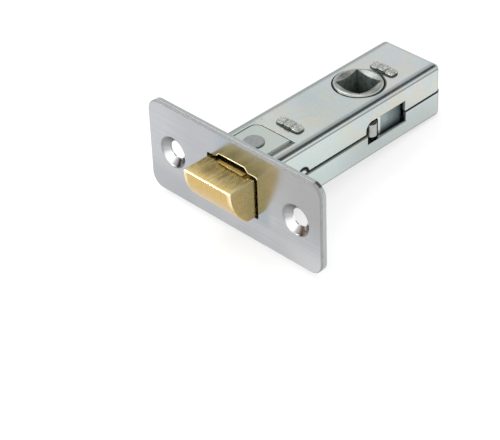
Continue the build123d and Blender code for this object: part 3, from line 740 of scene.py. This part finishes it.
def lug_rivet(name, node, side):
    """Turned rivet: flat head a little crowned and hammered, its rim rolled over."""
    low, high = span(node)
    head_radius = (high.x - low.x) / 2 / MM
    centre = Vector(((low.x + high.x) / 2, (low.y + high.y) / 2, 0)) / MM
    top = max(high.z, -low.z) / MM
    foot = min(abs(high.z), abs(low.z)) / MM
    profile = [(0.0, foot), (rivet_tail_radius * 0.6, foot), (rivet_tail_radius, foot),
               (rivet_shank_radius, foot + rivet_tail_height), (rivet_shank_radius, case_top),
               (head_radius * 0.98, case_top), (head_radius, case_top + 0.06)]
    profile += [(head_radius - inset, top - drop) for inset, drop in rivet_rim]
    profile += [(head_radius * step / 10, top - rivet_crown * (1 - step / 10)) for step in range(8, -1, -1)]
    points = []
    for radius, height in profile:
        for i in range(rivet_sides):
            angle = 2 * math.pi * i / rivet_sides
            place = Vector((radius * math.cos(angle), radius * math.sin(angle), 0)) + centre
            dent = 0.0
            if height > top - rivet_face:
                dent = abs(noise.noise(place * rivet_dent_scale) * rivet_dent)
            points.append((place.x, place.y, side * (height - dent)))
    faces = rings_to_faces(0, len(profile), rivet_sides)
    return add_piece(name, points, faces, "case", "bare_steel", [node], crisp=50)


lug_rivet("upper_rivet", "upper_lug_rivet", 1)
lug_rivet("lower_rivet", "lower_lug_rivet", -1)


# Bead along the upper edge of the bolt's aperture, in millimetres
lip_radius = 0.17
lip_sink = 0.05
lip_path = [(-5.0, 6.37), (-4.35, 7.1), (-4.2, 7.17), (4.2, 7.17), (4.4, 7.1),
            (5.35, 6.06), (7.8, 6.06), (8.2, 5.9), (8.42, 5.5)]


def aperture_lip(name):
    """Thin bead along the upper edge of the aperture, over the crest that clears the bolt."""
    path = bpy.data.curves.new(name, "CURVE")
    path.dimensions = "3D"
    path.bevel_depth = lip_radius * MM
    path.bevel_resolution = 3
    path.use_fill_caps = True
    line = path.splines.new("POLY")
    line.points.add(len(lip_path) - 1)
    for point, (x, z) in zip(line.points, lip_path):
        point.co = (x * MM, lip_sink * MM, z * MM, 1)
    points, faces = curve_mesh(path)
    thing = add_piece(name, [point / MM for point in points], faces, "case", "satin_plate", [])
    dress(thing, bright_lip())


aperture_lip("upper_aperture_lip")


# Spacers with peened heads, in millimetres
strut_half_thickness = 1.0
strut_half_width = 3.6
strut_half_height = 6.6
tab_half_width = 3.3
tail_hole_radius = 2.3
lobe_corner = 0.95
lobe_waist = 1.22
waist_depth = 0.16
waist_width = 0.26
whole_end = 1.0
groove_bow = 0.10
groove_depth = 0.20
groove_width = 0.12
dent_scale = 1.9
dent_depth = 0.06
pit_scale = 3.4
pit_depth = 0.05

# Facets of a lobe: share of the full height, slope along the head, slope across it
struck_facets = [(1.0, -0.04, 0.0), (1.08, -0.14, 0.05), (1.06, -0.06, 0.16), (1.06, -0.03, -0.12),
                 (1.14, -0.14, -0.10)]
lift_spread = 0.03
slope_spread = 0.05

# Rings of a head, as shares of its outline: its top, its rim with how far each ring has sunk,
# and its foot with the height of each ring
head_top = [0.0, 0.12, 0.24, 0.36, 0.48, 0.6, 0.7, 0.78, 0.85, 0.9]
head_rim = [(0.94, 0.03), (0.975, 0.09), (0.995, 0.17), (1.0, 0.27)]
head_foot = [(0.985, 0.09), (0.95, 0.0), (0.5, 0.0), (0.0, 0.0)]
rim_least_height = 0.12


def round_rectangle(half_length, half_width, corner, per_corner, per_side, per_end):
    """Points round a rectangle with round corners."""
    points = []
    far, near = half_length - corner, half_width - corner
    runs = [((far, near), 0), ((-far, near), 90), ((-far, -near), 180), ((far, -near), 270)]
    for index, (middle, start) in enumerate(runs):
        for i in range(per_corner + 1):
            angle = math.radians(start + 90 * i / per_corner)
            points.append((middle[0] + corner * math.cos(angle), middle[1] + corner * math.sin(angle)))
        last = points[-1]
        following, angle = runs[(index + 1) % 4]
        angle = math.radians(angle)
        target = (following[0] + corner * math.cos(angle), following[1] + corner * math.sin(angle))
        steps = per_side if index % 2 == 0 else per_end
        for i in range(1, steps):
            share = i / steps
            points.append((last[0] + (target[0] - last[0]) * share, last[1] + (target[1] - last[1]) * share))
    return points


def hammered_height(u, v, full, facets):
    """Height of a peened head: a flat middle, struck grooves beside it, and faceted ends."""
    end = abs(u) - lobe_waist
    height = full
    if end > 0:
        for lift, slope_u, slope_v in facets[0 if u > 0 else 1]:
            height = min(height, full * lift + slope_u * end + slope_v * v)
    curve = lobe_waist + groove_bow - groove_bow * v * v
    groove = groove_depth * math.exp(-((abs(u) - curve) / groove_width) ** 2)
    dent = noise.noise(Vector((u * dent_scale, v * dent_scale, full * 7))) * dent_depth
    pit = noise.noise(Vector((u * pit_scale, v * pit_scale, 3))) * pit_depth
    return height - groove - abs(dent + pit)


def peened_head(middle, half_length, half_width, full, facets, side):
    """One peened head as points and faces, numbered from nought."""
    outline = []
    for u, v in round_rectangle(half_length, half_width, lobe_corner, per_corner=8, per_side=60, per_end=10):
        waist = 1.0
        if abs(u) < half_length - whole_end:
            waist = 1 - waist_depth * math.exp(-((abs(u) - lobe_waist) / waist_width) ** 2)
        outline.append((u, v * waist))
    reach = half_length - half_width
    points = []

    def add_ring(share, height):
        """A ring of points, the outline drawn in towards the head's middle line."""
        for u, v in outline:
            core = max(-reach, min(reach, u))
            place = (core + (u - core) * share, v * share)
            points.append((middle[0] + place[0], middle[1] + place[1], side * (case_top + height(*place))))

    for share in head_top:
        add_ring(share, lambda u, v: hammered_height(u, v, full, facets))
    for share, sunk in head_rim:
        add_ring(share, lambda u, v: max(hammered_height(u, v, full, facets) - sunk, rim_least_height))
    for share, height in head_foot:
        add_ring(share, lambda u, v: height)
    count = len(outline)
    return points, rings_to_faces(0, len(points) // count, count)


def strut(middle, hole):
    """The strut between two heads as points and faces, with a hole for the tail where there is one."""
    shape = bpy.data.curves.new("strut", "CURVE")
    shape.dimensions = "2D"
    shape.fill_mode = "BOTH"
    shape.extrude = strut_half_thickness
    inner, outer, low, high = tab_half_width, strut_half_width, strut_half_height, case_top
    outline = [(-outer, -low), (-inner, -low), (-inner, -high), (inner, -high), (inner, -low), (outer, -low),
               (outer, low), (inner, low), (inner, high), (-inner, high), (-inner, low), (-outer, low)]
    loops = [[(x + middle[0], z) for x, z in outline]]
    if hole:
        turns = [math.radians(angle) for angle in range(0, 360, 8)]
        loops.append([(hole * math.cos(turn), hole * math.sin(turn)) for turn in turns])
    for loop in loops:
        line = shape.splines.new("POLY")
        line.points.add(len(loop) - 1)
        line.use_cyclic_u = True
        for point, (x, z) in zip(line.points, loop):
            point.co = (x, z, 0, 1)
    points, faces = curve_mesh(shape)
    return [(point.x, middle[1] + point.z, point.y) for point in points], faces


def peened_spacer(name, node, hole, seed):
    """Spacer: a flat strut whose two ends are hammered over in three lobes."""
    draw = random.Random(seed)
    low, high = span(node)
    middle = ((low.x + high.x) / 2 / MM, (low.y + high.y) / 2 / MM)
    half_length = (high.x - low.x) / 2 / MM
    half_width = (high.y - low.y) / 2 / MM
    full = high.z / MM - case_top
    points, faces = strut(middle, hole)
    for side in (1, -1):
        facets = [[(draw.uniform(lift - lift_spread, lift + lift_spread),
                    slope + draw.uniform(-slope_spread, slope_spread), across * side)
                   for lift, slope, across in struck_facets] for _ in range(2)]
        head_points, head_faces = peened_head(middle, half_length, half_width, full, facets, side)
        start = len(points)
        points += head_points
        faces += [tuple(i + start for i in face) for face in head_faces]
    return add_piece(name, points, faces, "case", "bare_steel", [node], crisp=28)


peened_spacer("front_peened_spacer", "front_spacer", hole=tail_hole_radius, seed=3)
peened_spacer("rear_peened_spacer", "rear_spacer", hole=0, seed=8)


# Springs. The closed turns at an end rise by closed_rise times the wire's radius.
wire_sides = 12
steps_per_turn = 28
closed_turns = 0.9
closed_rise = 2.1


def coil(name, node, wire, turns):
    """Compression spring with closed end turns. Wire is its radius."""
    low, high = span(node)
    middle = (low.x + high.x) / 2 / MM
    radius = (high.x - low.x) / 2 / MM - wire
    start, end = low.y / MM + wire, high.y / MM - wire
    steps = int(turns * steps_per_turn)
    closed = closed_turns / turns
    flat = closed_rise * wire / (end - start)
    line = []
    for i in range(steps + 1):
        share = i / steps
        lift = min(1.0, max(0.0, (share - closed) / (1 - 2 * closed)))
        first_turn = min(1.0, share / closed)
        last_turn = max(0.0, (share - 1 + closed) / closed)
        rise = flat * first_turn + (1 - 2 * flat) * lift + flat * last_turn
        angle = 2 * math.pi * turns * share
        along = start + (end - start) * rise
        line.append(Vector((middle + radius * math.cos(angle), along, radius * math.sin(angle))))
    points = []
    for i, place in enumerate(line):
        ahead = (line[min(i + 1, steps)] - line[max(i - 1, 0)]).normalized()
        outward = Vector((place.x - middle, 0, place.z)).normalized()
        across = ahead.cross(outward).normalized()
        outward = across.cross(ahead)
        for j in range(wire_sides):
            angle = 2 * math.pi * j / wire_sides
            points.append(place + (outward * math.cos(angle) + across * math.sin(angle)) * wire)
    faces = rings_to_faces(0, steps + 1, wire_sides)
    faces.append(tuple(range(wire_sides)))
    faces.append(tuple(steps * wire_sides + j for j in range(wire_sides)))
    thing = add_piece(name, points, faces, "case", "spring_steel", [node])
    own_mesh(thing)
    return thing


coil("bolt_coil", "bolt_spring", wire=0.35, turns=9)
coil("left_return_coil", "left_return_spring", wire=0.2, turns=7)
coil("right_return_coil", "right_return_spring", wire=0.2, turns=7)


# The floor, which leans with the latch's own rest, and the studio round it
rest_slope = math.atan2(rear_head_low.z - rear_plate_low.z, rear_head_high.y - rear_plate_high.y)
floor_half = 6.0
floor_paint = 0.5
floor_lift = 0.62
room_light = 0.9
latch_middle = Vector((0, 0.03, 0))


def background_rays(mix):
    """One where the camera, a reflection or a view through something meets the background."""
    seen = [mix.node("ShaderNodeLightPath", output=kind)
            for kind in ("Is Camera Ray", "Is Glossy Ray", "Is Transmission Ray")]
    return (seen[0] + seen[1] + seen[2]).least(1.0)


def sheet_of(name, half_length, half_width):
    """Flat rectangle as an object in the scene."""
    corners = [(-half_length, -half_width, 0), (half_length, -half_width, 0),
               (half_length, half_width, 0), (-half_length, half_width, 0)]
    plane = bpy.data.meshes.new(name)
    plane.from_pydata(corners, [], [(0, 1, 2, 3)])
    thing = bpy.data.objects.new(name, plane)
    bpy.context.scene.collection.objects.link(thing)
    return thing


def face_latch(thing, way, distance):
    """Puts a lamp or card towards one side, turned to the latch."""
    away = Vector(way).normalized()
    thing.location = away * distance + latch_middle
    thing.rotation_euler = away.to_track_quat("Z", "Y").to_euler()


def make_floor():
    """White floor that keeps the shadows and glows where it is seen."""
    floor = sheet_of("floor", floor_half, floor_half)
    floor.location = (0, rear_plate_high.y, rear_plate_low.z)
    floor.rotation_euler = (rest_slope, 0, 0)
    mix = Finish("floor_white")
    lift = background_rays(mix) * floor_lift
    paint = mix.node("ShaderNodeBsdfDiffuse", sockets={"Color": rgb(floor_paint, floor_paint, floor_paint)})
    glow = mix.node("ShaderNodeEmission", sockets={"Color": rgb(1, 1, 1), "Strength": lift})
    both = mix.node("ShaderNodeAddShader", sockets={0: paint, 1: glow})
    mix.node("ShaderNodeOutputMaterial", sockets={"Surface": both})
    dress(floor, mix.material)


def make_room():
    """White room, a little dimmer as a light than as it is seen."""
    world = bpy.data.worlds.new("studio")
    bpy.context.scene.world = world
    world.use_nodes = True
    sky = Finish("studio", world.node_tree)
    strength = background_rays(sky) * (1.0 - room_light) + room_light
    light = sky.node("ShaderNodeBackground", sockets={"Color": rgb(1, 1, 1), "Strength": strength})
    sky.node("ShaderNodeOutputWorld", sockets={"Surface": light})


def soft_box(name, way, distance, size, power):
    """Square lamp turned to the latch."""
    lamp = bpy.data.lights.new(name, "AREA")
    lamp.shape = "SQUARE"
    lamp.size = size
    lamp.energy = power
    holder = bpy.data.objects.new(name, lamp)
    bpy.context.scene.collection.objects.link(holder)
    face_latch(holder, way, distance)


def card(name, way, distance, width, height, level):
    """Card that only reflections see: a flag where it is dark, a strip of light where it is bright."""
    board = sheet_of(name, width / 2, height / 2)
    face_latch(board, way, distance)
    mix = Finish(name)
    glow = mix.node("ShaderNodeEmission", sockets={"Color": rgb(1, 1, 1), "Strength": level})
    mix.node("ShaderNodeOutputMaterial", sockets={"Surface": glow})
    dress(board, mix.material)
    board.visible_camera = False
    board.visible_diffuse = False
    board.visible_shadow = False
    board.visible_transmission = False


bpy.context.scene.view_settings.view_transform = "Standard"
make_floor()
make_room()
soft_box("key_box", (-0.5, -0.1, 0.86), distance=1.2, size=0.6, power=3.0)
soft_box("front_box", (0.05, -0.93, 0.33), distance=1.0, size=0.25, power=0.45)
card("back_card", (0.17, 0.56, 0.76), distance=1.0, width=0.92, height=0.42, level=0.16)
card("side_card", (-0.9, -0.38, 0.0), distance=1.0, width=1.3, height=0.50, level=0.05)
card("edge_card", (-0.594, -0.80, 0.12), distance=1.0, width=0.26, height=0.13, level=8.0)
card("spark_card", (0.39, -0.43, 0.81), distance=1.0, width=0.30, height=0.30, level=4.0)
